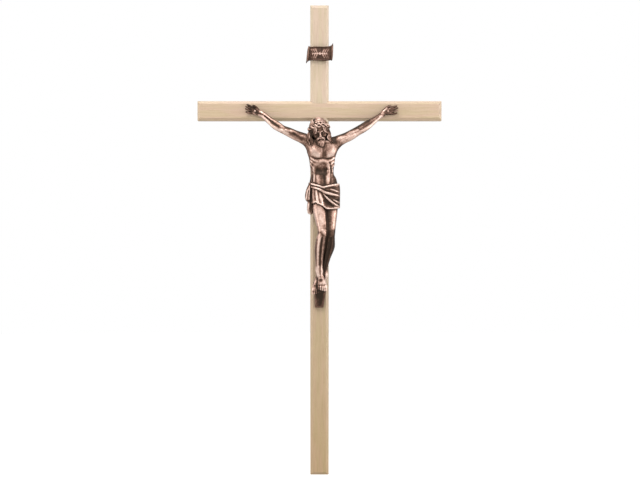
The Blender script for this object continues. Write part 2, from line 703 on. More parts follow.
trunk = {
    "rows": [
        [5, 8.4, -84, 10.6, 6.0],
        [4.5, 8.5, -76, 11.1, 6.3],
        [4.1, 8.2, -68, 11.9, 6.2],
        [3.4, 7.9, -62.5, 11.9, 5.9],
        [3.1, 7.6, -58, 11.0, 5.5],
        [2.5, 7.7, -54, 9.6, 5.5],
        [2.1, 8.0, -48, 10.1, 5.8],
        [2.1, 8.6, -41, 11.1, 6.6],
        [2.1, 9.4, -34, 13.0, 6.6],
        [2.6, 9.6, -28.5, 12.0, 5.4],
        [2.6, 9.6, -24, 6.5, 3.8],
    ],
    # x, z, radius, lift on the trunk's front, then how far it melts in and whether it is cut away
    "forms": [
        ([[-6.6, -30.5, 2.6, -2.0], [-3.6, -35.0, 4.4, -3.5], [-1.0, -37.6, 3.0, -2.3]], 1.4, False),
        ([[12.6, -30.5, 2.6, -2.0], [9.8, -35.0, 4.4, -3.5], [7.2, -37.6, 3.0, -2.3]], 1.4, False),
        ([[-8.2, -25.6, 0.6, -0.4], [-3.4, -26.4, 0.75, 0.2], [1.6, -27.4, 0.7, 0.4]], 0.9, False),
        ([[13.6, -25.6, 0.6, -0.4], [8.8, -26.4, 0.75, 0.2], [4.2, -27.4, 0.7, 0.4]], 0.9, False),
        ([[3.3, -28.6, 0.5, 0.5], [3.3, -34.5, 0.5, 0.9], [3.1, -41, 0.5, 0.6]], 1.3, True),
        ([[-6.6, -40.0, 0.3, 0.4], [-4.6, -41.0, 0.45, 0.4], [-0.6, -41.5, 0.45, 0.3],
          [2.2, -41.1, 0.35, 0.4]], 0.6, True),
        ([[11.6, -40.0, 0.3, 0.4], [9.6, -41.1, 0.45, 0.4], [6.4, -41.5, 0.45, 0.3],
          [4.2, -41.1, 0.35, 0.4]], 0.6, True),
        ([[-4.8, -51.6, 0.7, -0.6], [-3.9, -47.4, 0.9, -0.5], [0.1, -44.5, 0.9, -0.5],
          [3.1, -43.6, 0.9, -0.4], [6.2, -44.6, 0.9, -0.5], [9.4, -48.0, 0.8, -0.4],
          [10.6, -52.0, 0.6, -0.6]], 1.4, False),
        ([[-1.4, -51.4, 3.0, 1.9], [2.2, -51.4, 4.0, 2.8], [5.8, -51.4, 3.0, 1.9]], 1.4, True),
        ([[-1.6, -55.4, 1.0, -0.4], [-1.0, -58.5, 1.8, -1.0], [-0.5, -63.5, 2.2, -1.3]], 1.2, False),
        ([[6.6, -51.5, 0.5, -0.2], [6.6, -55.5, 1.0, -0.2], [6.9, -59.0, 1.3, -0.3],
          [7.0, -63.5, 1.3, -0.5]], 0.9, False),
        ([[3.9, -56.0, 0.5, 0.3], [4.2, -59.5, 0.6, 0.3], [4.4, -63.0, 0.5, 0.3]], 0.8, True),
        ([[6.9, -46.6, 0.6, -0.2], [8.0, -51.0, 0.9, -0.3], [8.2, -56.0, 0.9, -0.5],
          [8.0, -60.0, 0.7, -0.5]], 1.2, False),
        ([[9.4, -46.8, 0.35, 0.5], [10.0, -51.5, 0.45, 0.6], [9.6, -57.5, 0.45, 0.6],
          [9.8, -62, 0.3, 0.6]], 0.8, True),
        ([[-4.4, -50.0, 0.6, 0.0], [-4.4, -55.0, 0.8, -0.1], [-4.6, -61.0, 0.8, -0.1]], 0.8, False),
        ([[-5.9, -52.5, 0.3, 0.6], [-5.9, -57.0, 0.4, 0.6], [-6.2, -61.5, 0.3, 0.6]], 0.8, True),
    ],
    "ribs": {
        "count": 3,
        "first": -43.9,
        "pitch": -2.5,
        "radius": 0.42,
        "middle": 2.6,
        "from": 4.4,
        "to": 10.0,
    },
}

armRows = {
    "left": [
        [-1, 9.2, -30, 5.2, 4.6],
        [-6, 9.3, -28.4, 5.4, 4.8],
        [-11.6, 9.2, -25.1, 5.0, 4.8],
        [-19, 8.8, -21.8, 4.1, 4.2],
        [-26, 8.2, -18.6, 3.8, 3.7],
        [-31, 7.6, -16.4, 3.4, 3.3],
        [-36.5, 6.3, -13.1, 3.6, 3.3],
        [-42.5, 4.8, -8.5, 3.0, 2.7],
        [-47, 3.7, -4.5, 2.7, 2.1],
        [-50.4, 3.0, -2.3, 2.5, 1.7],
    ],
    "right": [
        [7, 9.2, -30, 5.2, 4.6],
        [12, 9.3, -28.4, 5.4, 4.8],
        [16.8, 9.2, -25.9, 4.7, 4.7],
        [22.5, 8.9, -23.2, 4.1, 4.2],
        [27.6, 8.4, -20.5, 4.0, 3.8],
        [31.8, 7.8, -18.0, 3.8, 3.5],
        [37.5, 6.6, -14.7, 3.8, 3.4],
        [44.0, 5.0, -10.1, 3.1, 2.7],
        [49.2, 3.8, -6.2, 2.3, 2.1],
        [53.4, 3.0, -3.3, 2.1, 1.7],
    ],
}
# share of the length, across towards the upper side, outwards, radius
armForms = [
    ([[0.14, 0.15, 0.55, 2.0], [0.24, 0.3, 0.55, 2.4], [0.34, 0.15, 0.6, 1.2]], 1.0, False),
    ([[0.30, 0.45, 0.55, 1.1], [0.42, 0.4, 0.62, 1.9], [0.54, 0.15, 0.7, 1.0]], 0.9, False),
    ([[0.24, -0.55, 0.35, 1.5], [0.38, -0.65, 0.35, 1.8], [0.54, -0.55, 0.3, 1.1]], 0.9, False),
    ([[0.22, -0.15, 1.12, 0.35], [0.38, -0.12, 1.2, 0.5], [0.53, -0.25, 1.08, 0.35]], 0.8, True),
    ([[0.575, 0.1, 1.25, 0.9], [0.605, -0.05, 1.25, 0.8]], 1.5, True),
    ([[0.59, 0.6, 0.45, 1.1], [0.68, 0.62, 0.5, 1.5], [0.82, 0.5, 0.6, 1.1],
      [0.97, 0.35, 0.6, 0.7]], 0.8, False),
    ([[0.60, -0.55, 0.5, 1.2], [0.70, -0.6, 0.55, 1.6], [0.84, -0.5, 0.6, 1.1],
      [0.97, -0.4, 0.6, 0.6]], 0.8, False),
    ([[0.62, 0.0, 1.16, 0.35], [0.74, 0.0, 1.2, 0.45], [0.92, 0.0, 1.15, 0.35]], 0.8, True),
]

hand = {
    "palms": {"left": ([-54.8, -0.6], 160, -1), "right": ([58.2, -0.6], 11, 1)},
    "palmOut": 1.5,
    "half": 3.1,
    "roots": 2.3,
    "finger": 6.4,
    "curl": 3.5,
    "fingerShares": [0.98, 1.06, 0.96, 0.78],
    "fingerRadius": 0.92,
}


def addForms(clay, forms, lay):
    for marks, blend, carve in forms:
        addLimb(clay, lay(marks), blend=blend, carve=carve)


def addTrunk(clay, s):
    slices, grid = near(clay, [-30, -2, -86], [36, 26, -20])
    merge(clay, slices, stackDistance(grid, s["rows"]), 0.5, False)
    addForms(clay, s["forms"], lambda marks: onStack(s["rows"], marks))
    ribs = s["ribs"]
    for side in (-1, 1):
        for i in range(ribs["count"]):
            height = ribs["first"] + i * ribs["pitch"]
            inner = ribs["from"] + 2.0 * i - 0.2 * i**2
            marks = []
            for share in (0.0, 0.35, 0.7, 0.98):
                across = ribs["middle"] + side * (inner + share * (ribs["to"] - inner))
                marks.append([across, height + 3.2 * share**1.5, ribs["radius"], -0.1])
            addLimb(clay, onStack(s["rows"], marks), blend=0.9)


def addArm(clay, rows):
    addLimb(clay, rows, blend=2.6, steps=8)
    addForms(clay, armForms, lambda marks: onLimb(rows, marks, (0, 0, 1)))


def addHand(clay, side, s):
    palm, turn, upper = s["palms"][side]
    cos, sin = np.cos(np.radians(turn)), np.sin(np.radians(turn))
    half, root, radius = s["half"], s["roots"], s["fingerRadius"]

    def at(lengthwise, crosswise, out, *sizes):
        return [
            palm[0] + lengthwise * cos - crosswise * upper * sin,
            s["palmOut"] + out,
            palm[1] + lengthwise * sin + crosswise * upper * cos,
            *sizes,
        ]

    heel = [
        armRows[side][-1],
        at(-2.9, 0, 0.5, 2.3, 1.45),
        at(-0.6, 0, 0.05, 2.9, 1.25),
        at(1.6, 0, 0, 3.1, 1.15),
        at(2.9, 0, 0.1, 2.7, 0.95),
    ]
    addLimb(clay, heel, blend=0.8)
    addLimb(clay, [at(-3.2, 1.3, 1.0, 0.8), at(-1.6, 1.8, 1.0, 1.15), at(0.2, 2.3, 0.9, 0.8)], blend=0.7)
    addLimb(clay, [at(-3.0, -1.2, 0.8, 0.7), at(-1.0, -1.9, 0.7, 1.0), at(1.6, -2.1, 0.6, 0.8)], blend=0.7)
    for i, share in enumerate(s["fingerShares"]):
        crosswise, length = half * (0.84 - 0.56 * i), s["finger"] * share
        spread = 1.02 + 0.05 * i
        marks = [
            at(root - 0.6, crosswise * 0.95, 0.1, radius),
            at(root + 0.40 * length, crosswise * spread, 0.20 * s["curl"], radius),
            at(root + 0.72 * length, crosswise * spread * 1.06, 0.62 * s["curl"], radius * 0.86),
            at(root + 0.92 * length, crosswise * spread * 1.06, 1.05 * s["curl"], radius * 0.72),
        ]
        addLimb(clay, marks, blend=0.3)
    thumb = [
        at(-2.4, 1.9, 0.5, 1.1),
        at(-0.4, 3.3, 1.1, 0.95),
        at(1.7, 4.0, 1.7, 0.82),
        at(3.2, 3.9, 2.2, 0.62),
    ]
    addLimb(clay, thumb, blend=0.35)


# The legs, crossed at the ankles, and the feet one over the other

legRows = {
    "front": [
        [-0.3, 8.8, -66, 5.6, 5.6],
        [-0.1, 9.8, -75, 5.8, 5.9],
        [0.0, 11.0, -83, 5.9, 5.8],
        [1.1, 12.8, -91, 5.3, 5.3],
        [2.1, 14.8, -98, 4.6, 4.6],
        [2.6, 15.9, -104, 4.0, 4.2],
        [1.2, 14.8, -110, 3.9, 3.9],
        [0.2, 12.9, -117, 3.9, 4.1],
        [-0.2, 11.0, -125, 3.5, 3.7],
        [-0.3, 9.4, -133, 3.0, 3.0],
        [0.0, 8.3, -139.5, 2.8, 2.8],
    ],
    "behind": [
        [9.8, 8.4, -66, 5.4, 5.6],
        [9.9, 8.8, -75, 5.6, 5.8],
        [9.9, 9.7, -84, 5.5, 5.6],
        [9.5, 10.8, -92, 5.0, 5.2],
        [9.2, 12.4, -99, 4.5, 4.6],
        [8.9, 13.3, -104.5, 4.3, 4.1],
        [8.5, 11.4, -110.5, 4.1, 3.8],
        [7.9, 9.2, -117, 4.1, 4.0],
        [6.0, 6.9, -125, 3.3, 3.6],
        [4.3, 5.0, -133, 2.6, 2.9],
        [3.2, 4.0, -138.5, 2.6, 2.7],
    ],
}
legForms = [
    ([[0.495, 0.25, 0.58, 1.6], [0.525, 0.3, 0.60, 1.8]], 1.8, False),
    ([[0.555, 0.15, 0.74, 0.9], [0.60, -0.1, 0.76, 0.9]], 1.5, False),
    ([[0.58, 0.62, -0.1, 1.6], [0.68, 0.66, -0.2, 2.0], [0.82, 0.4, -0.3, 1.2]], 1.0, False),
    ([[0.58, -0.62, -0.1, 1.6], [0.70, -0.62, -0.1, 1.9], [0.84, -0.4, -0.3, 1.2]], 1.0, False),
    ([[0.60, -0.3, 0.8, 0.9], [0.74, -0.3, 0.8, 0.9], [0.92, -0.3, 0.75, 0.7]], 0.8, False),
    ([[0.575, 0.2, 1.10, 0.5], [0.66, 0.18, 1.05, 0.8], [0.78, 0.16, 1.05, 0.8], [0.92, 0.15, 1.10, 0.5],
      [0.99, 0.1, 1.1, 0.3]], 1.2, True),
    ([[0.93, 0.5, 0.0, 1.0], [0.955, 0.62, 0.0, 1.15], [0.98, 0.55, 0.0, 1.0]], 1.6, False),
    ([[0.92, -0.5, 0.0, 1.0], [0.945, -0.62, 0.0, 1.15], [0.97, -0.55, 0.0, 1.0]], 1.6, False),
]
feet = {
    "upper": {
        "heel": [0.3, 6.9, -138.0],
        "ball": [2.1, 9.4, -147.4],
        "toe": [2.5, 10.9, -152.6],
        "width": 7.8,
        "big": 1,
    },
    "lower": {
        "heel": [0.2, 3.8, -137.6],
        "ball": [-2.0, 6.8, -148.2],
        "toe": [-2.8, 9.4, -155.4],
        "width": 7.4,
        "big": -1,
    },
}
heelBehind = [
    [4.4, 4.8, -131.5, 2.0],
    [4.9, 4.6, -136.5, 2.1],
    [5.0, 4.4, -140.5, 2.0],
    [4.4, 4.0, -143.0, 1.5],
]
footThickness = 3.9
toeSpacing = 0.20  # share of the foot's width


def addLeg(clay, rows):
    addLimb(clay, rows, blend=0.8, steps=9)
    addForms(clay, legForms, lambda marks: onLimb(rows, marks, (1, 0, 0)))


def addFoot(clay, s):
    heel, ball, toe = (np.array(s[key], float) for key in ("heel", "ball", "toe"))
    half, thick = s["width"] / 2, footThickness / 2
    sole = [
        [*heel, half * 0.62, thick * 1.25],
        [*(heel + 0.5 * (ball - heel)), half * 0.76, thick * 1.15],
        [*ball, half * 0.98, thick * 0.9],
        [*(ball + 0.28 * (toe - ball)), half * 0.9, thick * 0.62],
    ]
    addLimb(clay, sole, blend=1.0)
    for step in range(-2, 3):
        place = step * s["big"]
        radius = half * (0.25 if place == 2 else 0.185)
        length = 1.0 if place == 2 else 1.02 - 0.08 * (1 - place)
        shift = np.array([step * s["width"] * toeSpacing, 0, 0])
        tip = ball + (toe - ball) * length
        knuckle = ball + 0.5 * (tip - ball) + [0, 0.75, 0]
        rows = [
            [*(ball + shift), radius * 0.9],
            [*(knuckle + shift), radius],
            [*(ball + 0.8 * (tip - ball) + shift + [0, 0.3, 0]), radius * 0.95],
            [*(tip + shift), radius * 0.9],
        ]
        addLimb(clay, rows, blend=0.25)
        tendonStart = heel + 0.45 * (ball - heel) + 0.45 * shift + [0, thick * 0.95, 0]
        tendonEnd = ball + shift + [0, thick * 0.7, 0]
        addLimb(clay, [[*tendonStart, 0.35], [*tendonEnd, 0.5]], blend=0.5)


# The head. Places on it run right, forward and up from its middle, and turn with it.

head = {
    "centre": [-0.2, 13.2, -17.9],
    "nod": 20.0,
    "lean": -8.0,
    "turn": 4.0,
    "neck": [[2.8, 9.0, -30, 4.8], [2.3, 9.8, -25, 3.7], [1.2, 11.0, -19.5, 3.5]],
    "faceOpening": ([0, 9.0, -3.2], [5.3, 5.7, 8.4]),
    # middle, sizes, blend, cut away; what isn't on the middle line comes twice
    "lumps": [
        ([0, -0.6, 2.0], [6.2, 7.2, 7.4], 0.6, False),
        ([0, 0.9, 3.0], [5.4, 6.3, 5.2], 0.8, False),
        ([0, 1.6, -3.0], [4.8, 5.1, 6.6], 1.5, False),
        ([2.6, 7.6, -0.2], [1.8, 1.4, 1.1], 0.9, True),
        ([2.5, 5.8, -0.3], [1.55, 1.0, 0.85], 0.35, False),
        ([3.4, 4.9, -2.6], [1.4, 1.2, 1.3], 1.2, False),
        ([0, 3.8, -7.8], [3.8, 2.9, 3.2], 0.8, False),
        ([0, 4.9, -10.2], [2.6, 2.1, 2.4], 1.2, False),
    ],
    # rows of right, forward, up and radius, then blend and cut away
    "strokes": [
        ([[4.3, 4.6, 0.9, 0.35], [2.9, 6.4, 1.5, 0.5], [1.2, 7.0, 1.2, 0.4]], 0.9, False),
        ([[0, 6.4, 1.8, 0.5], [0, 7.1, 0.2, 0.55], [0, 7.8, -1.3, 0.68], [0, 8.4, -2.4, 0.82]], 1.0, False),
        ([[0.75, 7.5, -2.7, 0.55], [0.95, 7.0, -2.7, 0.45]], 0.8, False),
        ([[1.2, 6.6, -0.6, 0.14], [2.5, 7.0, -0.95, 0.18], [3.8, 6.0, -0.6, 0.14]], 0.25, True),
        ([[1.9, 6.1, -5.1, 0.35], [0.9, 6.7, -4.8, 0.45], [0, 6.9, -4.9, 0.45]], 0.4, False),
        ([[1.5, 6.2, -6.1, 0.35], [0, 6.8, -6.2, 0.6]], 0.4, False),
        ([[2.0, 6.5, -5.6, 0.14], [0, 7.3, -5.45, 0.18]], 0.25, True),
        ([[0.5, 7.3, -4.1, 0.5], [1.7, 7.0, -4.6, 0.65], [2.9, 6.1, -6.0, 0.55],
          [3.2, 5.6, -7.8, 0.4]], 0.25, False),
        ([[0.4, 7.5, -3.8, 0.35], [1.4, 7.2, -3.9, 0.45], [3.0, 5.9, -5.0, 0.4],
          [3.7, 4.9, -6.8, 0.3]], 0.25, False),
    ],
}
hair = {
    "centre": [0, -0.6, 1.4],
    "sizes": [7.9, 8.5, 9.6],
    "parting": -3.1,
    "partingRise": 0.72,
    "firstBearing": 24,
    "lastBearing": 176,
    "rises": [50, 22, -4, -22],
    "locks": 19,
    "radius": 0.62,
    "seed": 5,
    "besideFace": 0.55,  # the share of the locks that falls beside the face
    # where those locks pass on their way down, in x, out and z: the foremost, then the hindmost
    "falls": {
        -1: [
            ([-5.9, 14.9, -22.5], [-10.4, 13.5, -21.5]),
            ([-6.2, 15.2, -27.0], [-10.3, 13.9, -26.0]),
            ([-6.2, 15.0, -31.0], [-9.2, 14.0, -29.0]),
        ],
        1: [
            ([7.4, 15.4, -20.3], [9.2, 13.0, -20.3]),
            ([7.0, 15.4, -24.0], [10.0, 13.2, -24.0]),
            ([8.6, 15.0, -27.2], [12.9, 14.0, -28.7]),
        ],
    },
    "nape": {"middle": [0.8, 11.6], "reach": [7.6, 6.6], "heights": [-22.0, -26.4]},
}
crown = {
    "level": 2.4,
    "tilt": 4.7,
    "weave": 1.25,
    "lift": 0.75,
    "depth": 0.5,
    "windings": 6,
    "phase": 0.3,
    "radius": 0.62,
    "thorns": 17,
    "thornLength": 1.7,
    "seed": 11,
}
beard = {
    "locks": 13,
    "inner": 6,
    "inset": 0.9,
    "spread": 64,
    "end": [1.9, 16.2, -31.2],
    "radius": 0.5,
    "wave": 0.35,
}


def turnOf(s):
    # columns: the head's right, forward and up, after it nods about x, leans about y and turns about z
    nod, lean, turn = np.radians([s["nod"], s["lean"], s["turn"]])
    aboutX = [[1, 0, 0], [0, np.cos(nod), -np.sin(nod)], [0, np.sin(nod), np.cos(nod)]]
    aboutY = [[np.cos(lean), 0, np.sin(lean)], [0, 1, 0], [-np.sin(lean), 0, np.cos(lean)]]
    aboutZ = [[np.cos(turn), -np.sin(turn), 0], [np.sin(turn), np.cos(turn), 0], [0, 0, 1]]
    flip = np.diag([1, -1, 1])
    return flip @ np.array(aboutZ) @ np.array(aboutY) @ np.array(aboutX) @ flip


headTurn = turnOf(head)


def onHead(rows):
    rows = np.array(rows, float)
    return np.column_stack([rows[:, :3] @ headTurn.T + head["centre"], rows[:, 3:]])


def mirrored(rows):
    rows = np.array(rows, float)
    return [rows] if np.all(rows[:, 0] == 0) else [rows, rows * ([-1] + [1] * (rows.shape[1] - 1))]


def towards(direction, lift=0.0):
    # the point of the hair's rounded top in a direction from its middle
    direction = np.array(direction, float)
    direction /= np.linalg.norm(direction)
    return np.array(hair["centre"]) + direction * (np.array(hair["sizes"]) + lift)


def addHead(clay, s):
    addLump(clay, onHead([hair["centre"]])[0], hair["sizes"], headTurn, 0.5)
    middle, sizes = s["faceOpening"]
    addLump(clay, onHead([middle])[0], sizes, headTurn, 1.0, True)
    for middle, sizes, blend, carve in s["lumps"]:
        for place in mirrored([middle]):
            addLump(clay, onHead(place)[0], sizes, headTurn, blend, carve)
    for rows, blend, carve in s["strokes"]:
        for half in mirrored(rows):
            addLimb(clay, onHead(half), blend=blend, carve=carve)


def besideFace(s, side, share, chance):
    across = share / s["besideFace"]
    hanging = [np.array(a) + across * (np.array(b) - a) for a, b in s["falls"][side]]
    hanging = [place + [0, 0.4 * (-1) ** int(share * s["locks"]), 0] for place in hanging]
    hanging[-1][2] += chance.uniform(-0.8, 1.6)
    return hanging


def downNape(s, bearing):
    aim = np.array([np.sin(bearing), np.cos(bearing)])
    return [np.array([*(s["middle"] + reach * aim), z]) for reach, z in zip(s["reach"], s["heights"])]


def addHair(clay, s):
    # each lock starts at the parting, runs over the head at its own bearing and then hangs
    chance = np.random.default_rng(s["seed"])
    middle, top = s["parting"] / s["sizes"][0], s["partingRise"]
    parting = [[*towards([middle, forward, top], 0.45), 0.26] for forward in (0.75, 0.3, -0.15, -0.55)]
    for side in (-1, 1):
        for share in (np.arange(s["locks"]) + 0.5) / s["locks"]:
            bearing = side * np.radians(s["firstBearing"] + share * (s["lastBearing"] - s["firstBearing"]))
            wave = chance.uniform(0, 2 * np.pi)
            directions = [[middle + 0.05 * side, 0.62 - 1.15 * share, top]]
            for i, rise in enumerate(np.radians(s["rises"])):
                swung = bearing + 0.075 * np.sin(wave + 2.1 * i)
                directions.append([np.sin(swung) * np.cos(rise), np.cos(swung) * np.cos(rise), np.sin(rise)])
            first, second = (np.array(one) / np.linalg.norm(one) for one in directions[:2])
            directions.insert(1, first + second)
            thick = s["radius"] * chance.uniform(0.8, 1.15)
            lifts = chance.uniform(-0.25, 0.25, len(directions))
            over = [[*towards(one, lift), thick] for one, lift in zip(directions, lifts)]
            over[0][3] = 0.5 * thick
            if share < s["besideFace"]:
                hanging = besideFace(s, side, share, chance)
                over = over[:-1]
            else:
                hanging = downNape(s["nape"], bearing)
            rows = list(onHead(over))
            for i, place in enumerate(hanging):
                swing = 0.45 * np.array([np.sin(wave + 2.3 * i), 0.6 * np.cos(wave + 2.3 * i), 0.0])
                rows.append([*(place + swing), thick * (0.9 if i < len(hanging) - 1 else 0.35)])
            addLimb(clay, rows, blend=0.16, steps=4)
    addLimb(clay, onHead(parting), blend=0.3, carve=True)


def addBeard(clay, s):
    for count, inset in ((s["locks"], 0.0), (s["inner"], s["inset"])):
        for i, angle in enumerate(np.radians(np.linspace(-s["spread"], s["spread"], count))):
            sin, cos = np.sin(angle), np.cos(angle)
            curl = s["wave"] * (-1) ** i
            rows = [
                [4.3 * sin, 2.3 + 3.5 * cos - inset, -5.6, 0.4],
                [(4.1 + curl) * sin, 2.8 + 4.2 * cos - inset, -7.6, s["radius"]],
                [(3.4 - curl) * sin + curl, 3.3 + 4.2 * cos - inset, -9.6, s["radius"]],
            ]
            shift = [1.9 * sin + 0.5 * curl, -1.8 * (1 - cos) - inset, 1.1 * (1 - cos) + inset]
            rows = [*onHead(rows), [*(np.array(s["end"]) + shift), 0.3]]
            addLimb(clay, rows, blend=0.2, steps=4)


def addCrown(clay, s):
    # Two branches round the head at bearing t, level + tilt cos t up; each swings about that line by
    # weave cos(windings t + phase) upwards and depth sin(windings t + phase) outwards.
    t = np.linspace(0, 2 * np.pi, 145)
    (right, forward, up), (wide, long, tall) = hair["centre"], hair["sizes"]
    for branch in (0, 1):
        swing = s["windings"] * t + s["phase"] + branch * np.pi
        height = s["level"] + s["tilt"] * np.cos(t) + s["weave"] * np.cos(swing)
        girth = np.sqrt(1 - ((height - up) / tall) ** 2)
        lift = s["lift"] + s["depth"] * np.sin(swing)
        aside, ahead = wide * girth + lift, long * girth + lift
        ring = np.stack([right + aside * np.sin(t), forward + ahead * np.cos(t), height], 1)
        thick = s["radius"] * (1 + 0.12 * np.sin(2.7 * swing))
        addLimb(clay, onHead(np.column_stack([ring, thick])), blend=0.15, steps=1)
        chance = np.random.default_rng(s["seed"] + branch)
        for at in np.linspace(0, len(t) - 2, s["thorns"] // 2 + branch).astype(int) + branch * 5:
            at = at % (len(t) - 1)
            out = np.array([np.sin(t[at]), np.cos(t[at]), 0])
            along = np.array([np.cos(t[at]), -np.sin(t[at]), 0])
            lean = out + chance.choice([-0.6, 0.6]) * along + chance.choice([-0.7, 0.7]) * np.array([0, 0, 1])
            tip = ring[at] + s["thornLength"] * lean / np.linalg.norm(lean)
            addLimb(clay, onHead([[*ring[at], 0.5], [*tip, 0.12]]), blend=0.2, steps=1)


# The loincloth: it lies over the hips and thighs, and its folds are drawn on its front in x and z

cloth = {
    "thickness": 0.9,
    "top": [(-12, -60.8), (-5.6, -61.9), (-1.9, -63.2), (1.5, -64.3), (4.5, -64.4), (7.5, -63.8),
            (11.6, -62.9), (18, -62.0)],
    "hem": [(-12, -79.6), (-5.6, -79.2), (-3.2, -78.2), (0.1, -79.9), (2.8, -81.3), (4.5, -82.6),
            (6.2, -83.9), (10.3, -84.0), (18, -83.0)],
    # x, z, radius, lift; then blend and cut away
    "folds": [
        ([[-6.0, -64.1, 0.3, 0.5], [-1.9, -65.4, 0.4, 0.6], [2.2, -67.0, 0.45, 0.7],
          [5.2, -68.3, 0.5, 0.7], [9.0, -69.2, 0.45, 0.6]], 0.7, True),
        ([[5.6, -66.7, 0.4, 0.5], [10.3, -66.1, 0.45, 0.5], [15.0, -65.3, 0.35, 0.4],
          [16.9, -65.0, 0.3, 0.2]], 0.7, True),
        ([[2.2, -70.4, 0.35, 0.5], [5.6, -72.0, 0.45, 0.6], [9.0, -73.7, 0.5, 0.7],
          [15.0, -74.7, 0.45, 0.4], [16.9, -75.1, 0.3, 0.2]], 0.7, True),
        ([[3.6, -73.6, 0.5, 0.5], [6.0, -76.8, 0.8, 0.7], [8.8, -79.6, 0.9, 0.8],
          [12.0, -82.0, 0.6, 0.6]], 0.8, True),
        ([[4.6, -76.6, 1.2, 1.0], [6.6, -79.6, 1.9, 1.2], [9.6, -81.6, 1.4, 1.0]], 1.0, True),
        ([[12.6, -75.8, 0.5, 0.5], [14.8, -76.2, 0.6, 0.4], [16.8, -76.4, 0.4, -0.4]], 0.6, True),
        ([[8.6, -74.8, 0.5, 0.6], [11.6, -77.6, 0.6, 0.6], [15.0, -79.6, 0.4, 0.4],
          [16.8, -80.4, 0.3, -0.4]], 0.7, True),
        ([[-4.1, -68.5, 0.3, 0.6], [-3.9, -73.0, 0.35, 0.6], [-3.4, -78.0, 0.3, 0.6]], 0.6, True),
        ([[-1.2, -70.0, 0.3, 0.6], [-0.6, -74.0, 0.35, 0.6], [0.6, -79.4, 0.3, 0.6]], 0.6, True),
        ([[-6.6, -62.8, 0.75, 0.1], [-1.9, -64.2, 0.85, 0.2], [1.5, -65.3, 0.8, 0.2],
          [4.0, -66.2, 0.5, 0.0]], 0.5, False),
        ([[3.4, -65.5, 0.6, 0.1], [7.5, -64.8, 0.85, 0.2], [11.6, -63.8, 0.85, 0.2],
          [14.6, -63.2, 0.7, -0.1], [16.6, -62.9, 0.5, -0.4]], 0.5, False),
        ([[-6.6, -65.4, 0.9, 0.1], [-1.9, -66.7, 1.0, 0.3], [2.2, -68.6, 1.1, 0.5],
          [5.2, -70.2, 1.2, 0.6], [10.3, -71.5, 1.2, 0.5], [14.6, -72.3, 0.9, 0.0],
          [16.6, -73.0, 0.6, -0.4]], 0.6, False),
        ([[9.5, -67.3, 0.5, 0.0], [12.5, -68.3, 0.8, 0.3], [14.6, -69.0, 0.7, 0.0],
          [16.6, -69.6, 0.5, -0.4]], 0.5, False),
        ([[3.0, -70.6, 0.5, 0.1], [5.2, -73.3, 0.8, 0.4], [7.9, -76.0, 0.9, 0.6],
          [10.6, -78.3, 0.9, 0.6], [13.6, -80.4, 0.8, 0.3], [15.0, -81.1, 0.7, 0.0],
          [16.6, -81.8, 0.4, -0.4]], 0.4, False),
        ([[12.0, -76.4, 0.5, 0.2], [14.0, -77.4, 0.7, 0.3], [15.0, -77.9, 0.6, 0.1],
          [16.6, -78.4, 0.4, -0.4]], 0.5, False),
        ([[-5.3, -67.5, 0.6, -0.1], [-5.3, -72.0, 0.9, -0.2], [-5.0, -78.3, 0.8, -0.2]], 0.8, False),
        ([[-2.7, -68.8, 0.6, -0.1], [-2.2, -73.0, 1.1, -0.3], [-1.2, -79.0, 0.9, -0.2]], 0.8, False),
        ([[0.3, -70.6, 0.6, -0.1], [1.4, -75.0, 1.2, -0.4], [2.4, -80.2, 0.9, -0.3]], 0.8, False),
        ([[-6.4, -78.8, 0.5, 0.1], [-3.2, -77.8, 0.5, 0.1], [0.1, -79.5, 0.5, 0.1],
          [2.8, -80.9, 0.5, 0.1], [4.5, -82.2, 0.5, 0.1], [6.2, -83.4, 0.55, 0.1],
          [10.3, -83.5, 0.55, 0.1], [14.8, -82.9, 0.5, 0.0], [16.6, -82.7, 0.4, -0.4]], 0.3, False),
    ],
    # the end that hangs at the hip: x, out, z, radius, radius outwards
    "hanging": [
        ([[-7.6, 9.6, -62.6, 1.2, 1.6], [-8.6, 9.8, -66.0, 2.0, 2.2], [-9.3, 9.9, -70.5, 2.7, 2.2],
          [-9.4, 9.9, -74.5, 2.8, 1.9], [-9.2, 9.7, -76.6, 1.6, 1.3]], 0.4, False),
        ([[-7.4, 8.8, -75.0, 2.2, 1.6], [-7.5, 9.0, -79.5, 2.8, 1.9], [-7.6, 8.8, -83.8, 3.0, 1.7],
          [-7.7, 8.4, -86.0, 2.5, 1.2]], 0.3, False),
        ([[-7.0, 12.4, -64.0, 0.4, 0.7], [-7.0, 12.8, -70.0, 0.5, 0.9],
          [-6.9, 12.4, -76.0, 0.4, 0.7]], 0.4, True),
        ([[-8.4, 11.4, -64.5, 0.5], [-10.0, 11.8, -70.0, 0.7], [-10.9, 11.4, -75.4, 0.6]], 0.4, False),
        ([[-8.0, 11.7, -64.8, 0.5], [-8.6, 12.0, -70.5, 0.7], [-8.6, 11.5, -76.0, 0.6]], 0.4, False),
        ([[-9.0, 12.1, -68.0, 0.25], [-9.8, 12.4, -72.0, 0.35], [-9.9, 11.7, -76.2, 0.3]], 0.4, True),
        ([[-8.6, 10.4, -78.0, 0.5], [-9.4, 10.6, -82.5, 0.75], [-9.6, 10.0, -87.0, 0.6]], 0.4, False),
        ([[-6.4, 10.6, -78.0, 0.5], [-6.6, 10.8, -82.5, 0.75], [-6.2, 10.2, -87.0, 0.6]], 0.4, False),
        ([[-7.6, 11.1, -79.0, 0.3], [-8.0, 11.3, -83.5, 0.45], [-7.9, 10.4, -87.6, 0.35]], 0.4, True),
    ],
}


bodyMiddle = 8.0  # how far out the middle of the body lies


